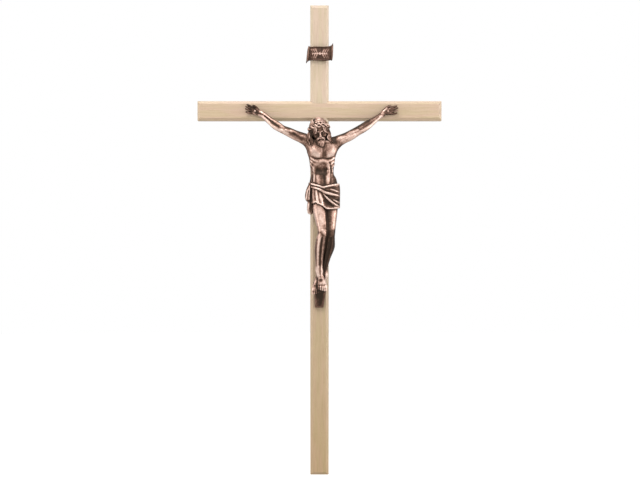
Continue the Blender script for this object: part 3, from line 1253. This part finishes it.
def fronts(clay):
    # how far out the clay reaches at each x and z, and where there is none the middle of the body
    field, outs = clay["field"], clay["axes"][1]
    inside = field < 0
    last = field.shape[1] - 1 - np.argmax(inside[:, ::-1], axis=1)
    last = np.minimum(last, field.shape[1] - 2)
    here = np.take_along_axis(field, last[:, None], 1)[:, 0]
    beyond = np.take_along_axis(field, last[:, None] + 1, 1)[:, 0]
    reach = outs[last] + clay["step"] * np.clip(here / np.where(here < beyond, here - beyond, -1), 0, 1)
    return np.where(inside.any(1), reach, bodyMiddle)


def onFront(clay, heights, marks):
    xs, zs = clay["axes"][0], clay["axes"][2]
    placed = []
    for x, z, radius, lift in marks:
        i, k = np.argmin(np.abs(xs - x)), np.argmin(np.abs(zs - z))
        placed.append([x, heights[i, k] + lift, z, radius])
    return placed


def widened(rows, thickness):
    return [[*row[:3], row[3] + thickness, row[4] + thickness] for row in rows]


def addCloth(clay, s):
    grid = np.ix_(*clay["axes"])
    merge(clay, slice(None), stackDistance(grid, widened(trunk["rows"], s["thickness"])), 0.5, False)
    for rows in legRows.values():
        addLimb(clay, widened(rows, s["thickness"]), blend=3.0, steps=4)
    x, _, z = grid
    top = np.interp(x, *zip(*s["top"]))
    hem = np.interp(x, *zip(*s["hem"]))
    clay["field"][:] = np.maximum(clay["field"], np.maximum(z - top, hem - z))
    heights = fronts(clay)
    for marks, blend, carve in s["folds"]:
        addLimb(clay, onFront(clay, heights, marks), blend=blend, carve=carve)
    for rows, blend, carve in s["hanging"]:
        addLimb(clay, rows, blend=blend, carve=carve)


# The footrest: a wedge, as the slopes that bound it in out and z, and its two sides

footrest = {
    # a point of each face in out and z, and the way the face looks
    "faces": [
        ([1, -146.6], [0, 1]),
        ([1.0, -146.6], [0.505, 0.863]),
        ([9.2, -152], [1, 0]),
        ([9.2, -153.2], [0.951, -0.308]),
        ([0, -167.4], [0, -1]),
    ],
    # a height, and how far each side lies to the left and the right there
    "sides": [(-146.6, -4.6, 6.6), (-167.4, -4.0, 3.3)],
    "rounding": 0.7,
}


def addFootrest(clay, s):
    x, out, z = np.ix_(*clay["axes"])
    heights, left, right = (np.array(column)[::-1] for column in zip(*s["sides"]))
    distance = np.maximum(np.interp(z, heights, left) - x, x - np.interp(z, heights, right))
    distance = -smoothMinimum(-distance, out, s["rounding"])
    for point, normal in s["faces"]:
        normal = np.array(normal) / np.linalg.norm(normal)
        slope = (out - point[0]) * normal[0] + (z - point[1]) * normal[1]
        distance = -smoothMinimum(-distance, -slope, s["rounding"])
    clay["field"][:] = distance


# The scroll: a bowed sheet whose two ends roll forward, with a plain leafy spray on it

scroll = {
    "left": [(40.4, -10.4), (54.6, -8.6)],
    "right": [(42.6, 10.0), (56.8, 10.6)],
    "top": [(-12, 54.2), (-4, 54.5), (4, 54.3), (9, 54.9), (12, 56.8)],
    "bottom": [(-12, 40.2), (-9, 42.3), (-4, 42.6), (4, 42.0), (10, 42.8), (12, 43.0)],
    "sheetOut": 1.7,
    "bow": 0.9,
    "bowSpan": 22,
    "ripple": (0.25, 0.55),
    "half": 0.55,
    "rim": {"from": -7.6, "to": 8.2, "points": 8, "inset": 0.6, "radius": 0.42},
    "rolls": [
        [
            [-8.9, 2.9, 54.3, 0.6],
            [-9.3, 3.2, 51.5, 0.95],
            [-9.9, 3.3, 46.0, 1.0],
            [-10.4, 3.1, 42.8, 0.8],
            [-11.2, 2.7, 40.3, 0.3],
        ],
        [
            [11.3, 2.7, 56.8, 0.3],
            [10.9, 3.1, 54.6, 0.8],
            [10.6, 3.3, 51.0, 1.0],
            [10.4, 3.2, 46.0, 0.95],
            [10.3, 2.9, 42.9, 0.6],
        ],
    ],
    "grooves": [
        [[-7.3, 3.4, 54.4, 0.5], [-8.0, 3.4, 48.0, 0.6], [-8.7, 3.4, 42.0, 0.5]],
        [[8.9, 3.4, 55.0, 0.5], [8.7, 3.4, 48.5, 0.6], [8.3, 3.4, 42.4, 0.5]],
    ],
    "spray": {
        "middle": (0.3, 48.3),
        "rosette": 1.25,
        "petals": 6,
        "petalRadius": 0.6,
        "firstPair": 2.2,
        "pairs": 3,
        "pitch": 1.8,
        "leaf": (1.5, 3.3),
        "leafRadius": 0.58,
    },
}


def addScroll(clay, s):
    x, out, z = np.ix_(*clay["axes"])
    ripple, often = s["ripple"]
    middle = s["sheetOut"] + s["bow"] * np.cos(np.pi * x / s["bowSpan"]) + ripple * np.sin(often * z)
    sheet = np.abs(out - middle) - s["half"]
    across = np.maximum(np.interp(z, *zip(*s["left"])) - x, x - np.interp(z, *zip(*s["right"])))
    upright = np.maximum(z - np.interp(x, *zip(*s["top"])), np.interp(x, *zip(*s["bottom"])) - z)
    clay["field"][:] = -smoothMinimum(-sheet, -np.maximum(across, upright), 0.5)
    for rows in s["grooves"]:
        addLimb(clay, rows, blend=0.5, carve=True)
    for rows in s["rolls"]:
        addLimb(clay, rows, blend=0.4)
    heights = fronts(clay)
    rim = s["rim"]
    along = np.linspace(rim["from"], rim["to"], rim["points"])
    for edge, inwards in (("top", -rim["inset"]), ("bottom", rim["inset"])):
        heightsAlong = np.interp(along, *zip(*s[edge]))
        marks = [[x, z + inwards, rim["radius"], 0.0] for x, z in zip(along, heightsAlong)]
        addLimb(clay, onFront(clay, heights, marks), blend=0.4)
    addSpray(clay, heights, s["spray"])


def petals(s):
    angles = 2 * np.pi * np.arange(s["petals"]) / s["petals"]
    (across, height), reach = s["middle"], s["rosette"]
    return [(across + reach * np.cos(a), height + reach * np.sin(a)) for a in angles]


def sprayLines(s):
    # A leafy spray: pairs of leaves along a stem, leaning away from a rosette in its middle. With each
    # line goes how much of the dark was rubbed off it, less and less towards the ends.
    middle, height = s["middle"]
    last = s["firstPair"] + (s["pairs"] - 1) * s["pitch"]
    lines = [([(middle - last, height), (middle + last, height)], 0.3)]
    for side in (-1, 1):
        for i in range(s["pairs"]):
            root = middle + side * (s["firstPair"] + i * s["pitch"])
            for up in (-1, 1):
                leaf = [
                    (root + side * along * s["leaf"][0], height + up * rise * s["leaf"][1])
                    for along, rise in ((0, 0), (0.35, 0.55), (1, 1))
                ]
                lines.append((leaf, 0.85 - 0.35 * i / (s["pairs"] - 1)))
    return lines


def addSpray(clay, heights, s):
    stem, *leaves = sprayLines(s)
    addLimb(clay, onFront(clay, heights, [[x, z, 0.4, 0.1] for x, z in stem[0]]), blend=0.3)
    for leaf, _ in leaves:
        marks = [[x, z, radius, 0.1] for (x, z), radius in zip(leaf, (0.25, s["leafRadius"], 0.15))]
        addLimb(clay, onFront(clay, heights, marks), blend=0.25)
    for x, z in petals(s):
        marks = [[*s["middle"], 0.35, 0.1], [x, z, s["petalRadius"], 0.15]]
        addLimb(clay, onFront(clay, heights, marks), blend=0.15)


# the two corners of the room that each clay has, and the step of its grid
rooms = {
    "upper": ([-66, -1.5, -74], [72, 22, 9], 0.32),
    "legs": ([-9, -1.5, -157], [18, 24, -64], 0.3),
    "head": ([-14, 1, -34], [16, 25, -3], 0.21),
    "cloth": ([-14.5, 0, -90], [20.5, 24, -58], 0.33),
    "footrest": ([-6, -1, -169], [8, 12, -145], 0.4),
    "scroll": ([-13, -1, 38], [13, 7, 59], 0.22),
}


def buildClays():
    upper = newClay(*rooms["upper"])
    addTrunk(upper, trunk)
    addLimb(upper, head["neck"], blend=2.0)
    for side in ("left", "right"):
        addArm(upper, armRows[side])
        addHand(upper, side, hand)
    lower = newClay(*rooms["legs"])
    addLeg(lower, legRows["behind"])
    addFoot(lower, feet["lower"])
    addLimb(lower, heelBehind, blend=0.6)
    legs = newClay(*rooms["legs"])
    addLeg(legs, legRows["front"])
    addFoot(legs, feet["upper"])
    legs["field"] = smoothMinimum(legs["field"], lower["field"], 0.9)
    skull = newClay(*rooms["head"])
    addHead(skull, head)
    addHair(skull, hair)
    addBeard(skull, beard)
    addCrown(skull, crown)
    print("head modelled")
    wrap = newClay(*rooms["cloth"])
    addCloth(wrap, cloth)
    wedge = newClay(*rooms["footrest"])
    addFootrest(wedge, footrest)
    banner = newClay(*rooms["scroll"])
    addScroll(banner, scroll)
    return {
        "figureUpper": upper,
        "figureLegs": legs,
        "legBehind": lower,
        "figureHead": skull,
        "loincloth": wrap,
        "footrest": wedge,
        "scrollBanner": banner,
    }


clays = buildClays()
print("casting modelled")

castCopper = copperMaterial("castCopper", copper)
castClays = {name: clay for name, clay in clays.items() if name != "legBehind"}
full = fullness(list(castClays.values()), patina)


# What the patina adds to what the form makes: strokes over the front, each a line of x and z, then
# how far it reaches to either side and how much it darkens, or with a minus how much it was rubbed bright
strokes = {
    "figureUpper": [
        # chest
        ([(-4.8, -41.3), (-1.5, -41.6), (2.2, -41.0), (5.5, -41.6), (9.2, -41.2)], 0.5, 0.22),
        ([(3.4, -31.0), (5.2, -36.0), (4.2, -40.0)], 2.2, 0.18),
        ([(-6.0, -38.4), (-0.5, -39.6)], 1.3, -0.2),
        ([(7.4, -39.6), (11.0, -38.4)], 1.2, -0.2),
        ([(11.6, -29.0), (11.9, -36.0), (11.2, -46.0)], 1.0, -0.12),
        # belly and hips
        ([(-1.0, -44.6), (5.4, -44.6)], 1.3, 0.12),
        ([(12.4, -42.5), (12.0, -50.0)], 0.8, 0.16),
        ([(-2.2, -52.0), (6.2, -52.0)], 2.4, 0.26),
        ([(-2.4, -54.4), (6.0, -54.4)], 1.0, 0.36),
        ([(8.6, -44.5), (10.0, -48.0), (9.8, -53.5)], 0.7, 0.4),
        ([(-6.2, -45.2), (-6.6, -48.4)], 0.9, 0.25),
        ([(-5.4, -55.0), (-5.8, -62.0)], 0.6, 0.4),
        ([(-4.3, -46.5), (-4.3, -53.5)], 0.9, 0.2),
        ([(3.0, -56.0), (4.2, -63.0)], 1.3, 0.2),
        ([(12.2, -56.5), (13.6, -61.5)], 1.6, 0.4),
        ([(-7.6, -57.5), (-8.4, -62.0)], 1.4, 0.4),
        # shoulders
        ([(11.0, -20.0), (13.2, -27.5)], 2.0, 0.5),
        ([(17.2, -31.0), (15.6, -34.0)], 0.8, 0.2),
        # left arm and hand
        ([(-30.0, -16.2), (-14.0, -23.0)], 2.0, 0.14),
        ([(-22.0, -19.6), (-15.0, -25.4)], 1.0, 0.3),
        ([(-40.0, -10.6), (-34.5, -14.0)], 1.3, 0.5),
        ([(-32.6, -16.6), (-27.0, -19.4)], 1.5, -0.24),
        ([(-54.0, -1.7), (-47.7, -3.6), (-40.0, -10.0)], 0.9, 0.45),
        ([(-51.5, 0.4), (-42.5, -5.2)], 0.8, -0.25),
        ([(-44.0, -10.8), (-34.0, -17.4)], 0.9, -0.12),
        ([(-60.5, 4.2), (-54.5, 2.4)], 1.2, 0.3),
        ([(-58.4, 2.0), (-57.8, -3.0)], 0.8, 0.25),
        ([(-57.0, -4.2), (-51.5, -5.0)], 1.4, -0.35),
        # right arm and hand
        ([(18.0, -22.0), (30.0, -16.8)], 1.0, 0.14),
        ([(18.5, -25.6), (29.0, -20.8)], 1.7, -0.2),
        ([(34.0, -17.0), (41.0, -12.2)], 1.2, 0.12),
        ([(32.0, -14.8), (41.5, -9.4)], 1.1, 0.5),
        ([(41.5, -9.4), (52.0, -3.4)], 0.8, 0.4),
        ([(30.0, -21.0), (44.0, -12.6)], 0.9, -0.12),
        ([(53.8, -1.0), (57.0, 1.8)], 0.6, -0.35),
        ([(58.4, 0.6), (60.6, 2.8)], 0.6, -0.3),
        ([(53.5, -3.8), (63.0, -4.0)], 1.1, 0.25),
        ([(64.6, -1.2), (66.0, -1.0)], 0.8, -0.4),
    ],
    "figureHead": [
        ([(-7.2, -19.5), (-7.4, -29.5)], 2.8, 0.48),
        ([(-8.4, -20.0), (-8.4, -29.5)], 0.45, -0.4),
        ([(9.4, -19.0), (12.0, -27.0)], 2.5, 0.46),
        ([(-0.6, -27.5), (0.4, -31.0)], 2.8, 0.24),
        ([(-4.3, -6.5), (-4.3, -13.0)], 0.5, 0.5),
    ],
    "scrollBanner": [
        ([(-9.0, 54.0), (-10.4, 42.0)], 0.4, -0.25),
        ([(11.0, 55.0), (10.5, 43.5)], 0.4, -0.25),
    ],
    "loincloth": [
        ([(-6.4, -65.0), (-6.0, -79.5)], 1.0, 0.3),
        ([(-7.4, -77.0), (-6.6, -88.0)], 1.0, 0.35),
        ([(-12.6, -76.7), (-7.0, -76.7)], 0.5, 0.45),
        ([(-8.4, -63.0), (-11.4, -68.0), (-12.3, -74.0)], 0.7, 0.35),
        ([(-10.9, -78.0), (-10.9, -87.0)], 0.6, 0.35),
        ([(2.4, -67.6), (6.4, -68.6)], 1.0, 0.2),
        ([(8.6, -66.2), (14.6, -66.2)], 1.1, 0.2),
        ([(6.4, -77.4), (10.8, -81.4)], 1.6, 0.22),
        ([(11.8, -75.4), (16.0, -76.6)], 0.9, 0.2),
        ([(-3.6, -70.5), (-2.4, -77.5)], 2.2, -0.12),
        ([(0.6, -73.0), (2.6, -79.5)], 1.6, -0.10),
    ],
    "figureLegs": [
        ([(8.5, -85.0), (8.5, -100.0)], 2.2, 0.4),
        ([(-6.2, -82.0), (-4.4, -92.0), (-2.6, -103.0)], 1.2, -0.22),
        ([(4.0, -99.0), (5.4, -104.5)], 1.7, 0.24),
        ([(-1.2, -99.0), (-0.8, -105.0)], 0.8, 0.12),
        ([(1.4, -103.8), (3.4, -106.0)], 1.3, 0.4),
        ([(2.4, -107.0), (1.5, -117.0), (0.7, -130.5)], 1.5, 0.42),
        ([(-2.6, -110.0), (-2.9, -119.0), (-2.7, -131.0)], 1.3, 0.26),
        ([(0.6, -131.0), (0.9, -141.0)], 0.6, 0.35),
        ([(-0.6, -142.2), (2.4, -142.2)], 0.5, -0.2),
        ([(0.5, -143.8), (1.4, -143.8)], 1.5, 0.5),
        ([(-1.2, -146.0), (-1.0, -152.0)], 0.8, 0.3),
        ([(-4.6, -141.0), (-5.4, -150.0)], 0.9, 0.25),
        ([(-5.0, -153.6), (0.4, -154.6)], 1.8, 0.35),
    ],
}
tarnish = {
    "footrest": 0.52,
    "scrollBanner": 0.68,
    "scrollRelief": 0.50,
    "clothSides": 0.05,
    "figureHead": 0.20,
    "figureUpper": 0.03,
    "figureLegs": 0.0,
    "loincloth": 0.10,
    "arms": 0.08,
    "feet": 0.10,
    "betweenToes": 0.35,
    # more on the hands, on the arms' upper sides and on the shin behind
    "hands": 0.36,
    "armTops": 0.40,
    "rearShin": 0.55,
}


def eased(values, start, end):
    # 0 before the start, 1 past the end
    t = np.clip((values - start) / (end - start), 0, 1)
    return t * t * (3 - 2 * t)


def stroked(points, lines):
    # each stroke counts exp(-(distance / reach)^2), in the plane of x and z
    x, _, z = points.T
    total = np.zeros(len(points))
    for line, reach, amount in lines:
        nearest = np.full(len(points), farAway * reach)
        for start, end in zip(np.array(line[:-1]), np.array(line[1:])):
            run = end - start
            t = np.clip(((x - start[0]) * run[0] + (z - start[1]) * run[1]) / (run @ run), 0, 1)
            nearest = np.minimum(nearest, np.hypot(x - start[0] - t * run[0], z - start[1] - t * run[1]))
        total += amount * np.exp(-((nearest / reach) ** 2))
    return total


def toeGaps(s):
    ball, toe, spacing = np.array(s["ball"]), np.array(s["toe"]), s["width"] * toeSpacing
    places = [step * np.array([spacing, 0, 0]) for step in (-1.5, -0.5, 0.5, 1.5)]
    return [([(ball + place)[[0, 2]], (toe + place)[[0, 2]]], 0.32, 1.0) for place in places]


def tarnishOf(name, points, outward):
    total = tarnish[name] + stroked(points, strokes.get(name, []))
    if name == "figureUpper":
        aside = np.abs(points[:, 0] - 2)
        total += tarnish["hands"] * eased(aside, 50, 55)
        tops = tarnish["armTops"] * eased(outward[:, 2], 0.1, 0.8)
        total += eased(aside, 10, 16) * (tarnish["arms"] + tops)
    if name == "loincloth":
        total -= tarnish["clothSides"] * np.clip(1 - outward[:, 1], 0, 1)
    if name == "scrollBanner":
        spray = scroll["spray"]
        rubbed = stroked(points, [(line, 0.6, share) for line, share in sprayLines(spray)])
        rubbed += stroked(points, [([spray["middle"], petal], 0.6, 0.5) for petal in petals(spray)])
        total -= tarnish["scrollRelief"] * np.clip(rubbed, 0, 1)
    if name == "figureLegs":
        total += tarnish["feet"] * eased(-points[:, 2], 139, 143)
        total += tarnish["betweenToes"] * stroked(points, [gap for s in feet.values() for gap in toeGaps(s)])
        behind = np.clip(1 - 2 * sample(clays["legBehind"], points), 0, 1)
        shin = eased(-points[:, 2], 100, 103) * eased(points[:, 2], -140, -134)
        total += tarnish["rearShin"] * behind * shin
    return total


cast = {
    name: meshFromClay(name, clay, list(castClays.values()), full, castCopper)
    for name, clay in castClays.items()
}
for name, piece in cast.items():
    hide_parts("scroll" if name == "scrollBanner" else "figure")


# Nails, turned from their outlines

nailOutline = {
    # share of the head's radius, share of its height, from the top of the dome down to the shank
    "dome": [(0, 0), (0.35, 0.06), (0.65, 0.24), (0.88, 0.52), (1.0, 0.85), (0.97, 1.0), (0.5, 1.0)],
    "domeHeight": 0.62,
    "shank": 0.45,
    "steps": 36,
    "tip": 0.01,  # both ends stop this far off the axis, so that no face folds up to a line
}


def wrapFaces(rows, columns, closed=False):
    # the faces of a grid of points whose rows are rings, with the last ring joined to the first if closed
    i, j = np.meshgrid(np.arange(rows if closed else rows - 1), np.arange(columns), indexing="ij")
    after, beside = (i + 1) % rows, (j + 1) % columns
    corners = [i * columns + j, after * columns + j, after * columns + beside, i * columns + beside]
    return np.stack(corners, 2).reshape(-1, 4)


def addNail(node, name, material, forwards, shade, s):
    # the outline (radius, depth) turned round the nail's axis, which runs along the frame's y
    low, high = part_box(node)
    radius = (high.x - low.x) / 2 / mm
    length = (high.y - low.y) / mm
    outline = [(share * radius, depth * s["domeHeight"] * radius) for share, depth in s["dome"]]
    outline += [(s["shank"] * radius, s["domeHeight"] * radius), (s["shank"] * radius, length), (0, length)]
    rings = np.array([(max(across, s["tip"]), depth) for across, depth in outline])
    angles = 2 * np.pi * np.arange(s["steps"]) / s["steps"]
    middle = [(high.x + low.x) / 2 / mm, (high.z + low.z) / 2 / mm]
    face = castBack - (low.y if forwards else high.y) / mm
    points = np.stack(
        [
            middle[0] + rings[:, :1] * np.cos(angles),
            face - (1 if forwards else -1) * rings[:, 1:] * np.ones(len(angles)),
            middle[1] + rings[:, :1] * np.sin(angles),
        ],
        2,
    ).reshape(-1, 3)
    faces = wrapFaces(len(rings), len(angles))
    piece = addPiece(name, points, faces, material, np.full(len(points), shade))
    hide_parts(node)


castNails = {
    "hand_nail_left": ("nailLeftHand", 0.3),
    "hand_nail_right": ("nailRightHand", 0.3),
    "foot_nail": ("nailFeet", 0.95),
}
for node, (name, shade) in castNails.items():
    addNail(node, name, castCopper, True, shade, nailOutline)
print("nails ready")


# The hanger on the back

brass = {"bright": (0.72, 0.52, 0.24), "dull": (0.50, 0.35, 0.16), "roughness": 0.3, "roughDull": 0.46}
hangerRing = {"wire": 0.8, "corner": 1.7, "steps": 20}


def brassMaterial(name, s):
    material, tree = newTree(name)
    place = addNode(tree, "ShaderNodeTexCoord").outputs["Object"]
    cloudInputs = {"Vector": place, "Scale": 420.0, "Detail": 3.0}
    clouds = addNode(tree, "ShaderNodeTexNoise", cloudInputs).outputs[0]
    fineInputs = {"Vector": place, "Scale": 2200.0, "Detail": 2.0}
    fine = addNode(tree, "ShaderNodeTexNoise", fineInputs).outputs[0]
    roughInputs = {0: clouds, 1: 0.3, 2: 0.7, 3: s["roughness"], 4: s["roughDull"]}
    rough = addNode(tree, "ShaderNodeMapRange", roughInputs)
    bump = addNode(tree, "ShaderNodeBump", {"Strength": 0.15, "Distance": 0.04 * mm, "Height": fine})
    inputs = {
        "Base Color": ramp(tree, clouds, [(0.35, s["bright"]), (0.7, s["dull"])]),
        "Metallic": 1.0,
        "Roughness": rough.outputs[0],
        "Normal": bump.outputs[0],
    }
    finishSurface(tree, inputs)
    return material


def addRing(node, name, material, s):
    # a round wire swept round a D, straight above and a half circle below, in the plane of the node's box
    low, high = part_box(node)
    wire = s["wire"]
    half = np.array([(high.x - low.x) / 2 / mm - wire, (high.z - low.z) / 2 / mm - wire])
    centre = np.array([high.x + low.x, high.y + low.y, high.z + low.z]) / 2 / mm
    turns = np.linspace(0, np.pi / 2, 9)
    corners = [(1, 1, 0), (-1, 1, 1), (-1, -1, 2), (1, -1, 3)]
    path, sides = [], []
    for right, up, quarter in corners:
        angles = turns + quarter * np.pi / 2
        side = np.stack([np.cos(angles), np.sin(angles)], 1)
        radius = s["corner"] if up > 0 else half[0]
        path.append((half - radius) * [right, up] + radius * side)
        sides.append(side)
    path, sides = np.vstack(path), np.vstack(sides)
    around = 2 * np.pi * np.arange(s["steps"]) / s["steps"]
    reach = path[:, None] + wire * np.cos(around)[None, :, None] * sides[:, None]
    depth = np.broadcast_to(centre[1] + wire * np.sin(around), reach.shape[:2])
    points = np.stack([centre[0] + reach[..., 0], castBack - depth, centre[2] + reach[..., 1]], 2)
    points = points.reshape(-1, 3)
    faces = wrapFaces(len(path), len(around), True)
    piece = addPiece(name, points, faces, material, body="ring")
    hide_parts(node)


hangerBrass = brassMaterial("hangerBrass", brass)
softEdged("hanger_strap", "hangerStrip", 0.12, hangerBrass)
addRing("hanger_ring", "hangerWire", hangerBrass, hangerRing)
for node, name in (("hanger_nail_upper", "hangerNailUpper"), ("hanger_nail_lower", "hangerNailLower")):
    addNail(node, name, hangerBrass, False, 0, nailOutline)
print("hanger ready")
